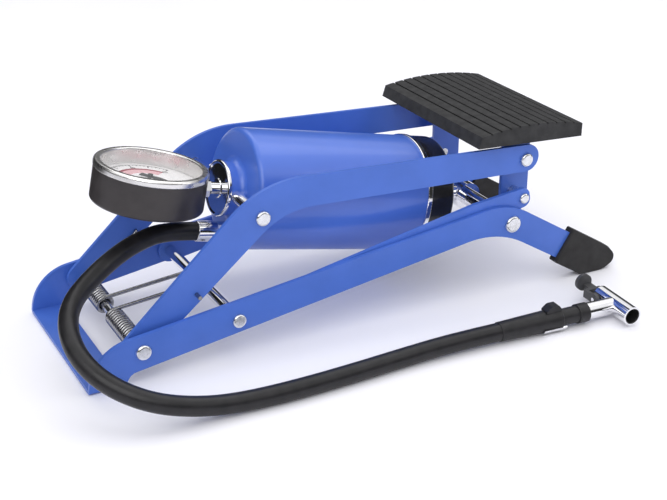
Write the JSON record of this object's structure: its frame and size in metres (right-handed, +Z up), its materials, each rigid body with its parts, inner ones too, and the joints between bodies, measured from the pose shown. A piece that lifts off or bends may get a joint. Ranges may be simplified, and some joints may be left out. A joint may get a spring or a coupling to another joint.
{
  "type": "foot air pump",
  "caption": "Foot pump that presses a slanting barrel over its piston when the pedal closes the lever linkage, with a pressure gauge and a hose to a lever chuck.",
  "frame": {"origin": "on the ground, under the middle of the pump without its hose", "axes": "+X from the hinge end to the pedal end, +Y to the side away from the hose, +Z up"},
  "size_m": [0.3075, 0.1567, 0.0959],
  "materials": {
    "frame_paint": "satin powder coat",
    "barrel_paint": "semi-gloss enamel",
    "pad_rubber": "matte ribbed",
    "cap_rubber": "satin",
    "rivet_zinc": "bright zinc plate",
    "chrome": "polished",
    "bezel_chrome": "polished",
    "spring_steel": "drawn wire",
    "end_cap_plastic": "gloss",
    "case_plastic": "satin",
    "glass": "clear",
    "dial_face": "printed",
    "pointer_black": "satin",
    "brass": "machined",
    "piston_aluminium": "turned",
    "seal_rubber": "smooth",
    "guide_plastic": "smooth",
    "hose_rubber": "satin",
    "sleeve_plastic": "satin",
    "lever_plastic": "satin"
  },
  "bodies": {
    "base": {"base_frame": "frame_paint", "foot_cap_near": "cap_rubber", "foot_cap_far": "cap_rubber", "hinge_axle": "rivet_zinc", "cross_rod": "rivet_zinc", "rear_axle": "rivet_zinc", "cross_rod_tube": "chrome", "rear_axle_tubes": "chrome", "hinge_washers": "rivet_zinc", "return_spring": "spring_steel"},
    "lever": {"lever_arm_near": "frame_paint", "lever_arm_far": "frame_paint", "trunnion_rivets": "rivet_zinc", "spring_ends": "spring_steel"},
    "links": {"link_near": "frame_paint", "link_far": "frame_paint", "link_rivets": "rivet_zinc"},
    "pedal": {"pedal_bracket": "frame_paint", "pedal_pad": "pad_rubber", "pedal_pins": "rivet_zinc", "link_studs": "rivet_zinc"},
    "ram": {"piston_rod": "chrome", "piston": "piston_aluminium", "cup_seal": "seal_rubber", "piston_guide": "guide_plastic"},
    "cylinder": {"barrel": "barrel_paint", "neck_disc": "chrome", "trunnion_pins": "chrome", "rear_ring": "chrome", "end_cap": "end_cap_plastic", "rod_bush": "brass", "hose_union": "chrome", "hose_ferrule": "chrome", "gauge_stem": "chrome", "gauge_case": "case_plastic", "gauge_bezel": "bezel_chrome", "gauge_lens": "glass", "gauge_dial": "dial_face", "bourdon_tube": "brass", "pointer_spindle": "pointer_black", "hose": "hose_rubber", "hose_sleeve": "sleeve_plastic", "clamp_ear": "sleeve_plastic", "clamp_clip": "chrome", "chuck_collars": "sleeve_plastic", "chuck_head": "chrome", "chuck_seal": "seal_rubber", "chuck_plunger": "rivet_zinc", "thumb_pin": "chrome"},
    "valve": {"valve_ball": "brass"},
    "needle": {"pointer": "pointer_black"},
    "thumb": {"thumb_lever": "lever_plastic"}
  },
  "joints": [
    {"name": "lever_hinge", "type": "hinge", "parent": "base", "child": "lever", "pos_m": [-0.1212, 0, 0.0159], "axis": [0, -1, 0], "range_deg": [0, 28]},
    {"name": "link_hinge", "type": "hinge", "parent": "base", "child": "links", "pos_m": [-0.0735, 0, 0.0204], "axis": [0, -1, 0], "range_deg": [0, 37.17]},
    {"name": "pedal_hinge", "type": "hinge", "parent": "lever", "child": "pedal", "pos_m": [0.0895, 0, 0.0707], "axis": [0, -1, 0], "range_deg": [-26.74, 0]},
    {"name": "ram_hinge", "type": "hinge", "parent": "base", "child": "ram", "pos_m": [0.0803, 0, 0.0385], "axis": [0, -1, 0], "range_deg": [-6.02, 0]},
    {"name": "barrel_slide", "type": "slide", "parent": "ram", "child": "cylinder", "axis": [-0.9783, 0, 0.2073], "range_m": [0, 0.03591]},
    {"name": "gauge_needle", "type": "hinge", "parent": "cylinder", "child": "needle", "pos_m": [-0.09752, 0, 0.07617], "axis": [-0.2073, 0, -0.9783], "range_deg": [0, 270], "stiffness_Nm_per_rad": 0.0001},
    {"name": "thumb_lock", "type": "hinge", "parent": "cylinder", "child": "thumb", "pos_m": [0.11298, -0.08441, 0.0058], "axis": [0.9987, -0.0506, 0], "range_deg": [0, 90]},
    {"name": "valve_lift", "type": "slide", "parent": "cylinder", "child": "valve", "axis": [-0.9783, 0, 0.2073], "range_m": [0, 0.0008], "stiffness_N_per_m": 50, "springref_m": -0.001}
  ],
  "couplings": [
    {"joint": "link_hinge", "follows": "lever_hinge", "ratio": 1.3271},
    {"joint": "pedal_hinge", "follows": "lever_hinge", "ratio": -0.9545},
    {"joint": "ram_hinge", "follows": "lever_hinge", "ratio": -0.2148},
    {"joint": "barrel_slide", "follows": "lever_hinge", "m_per_rad": 0.073436}
  ]
}
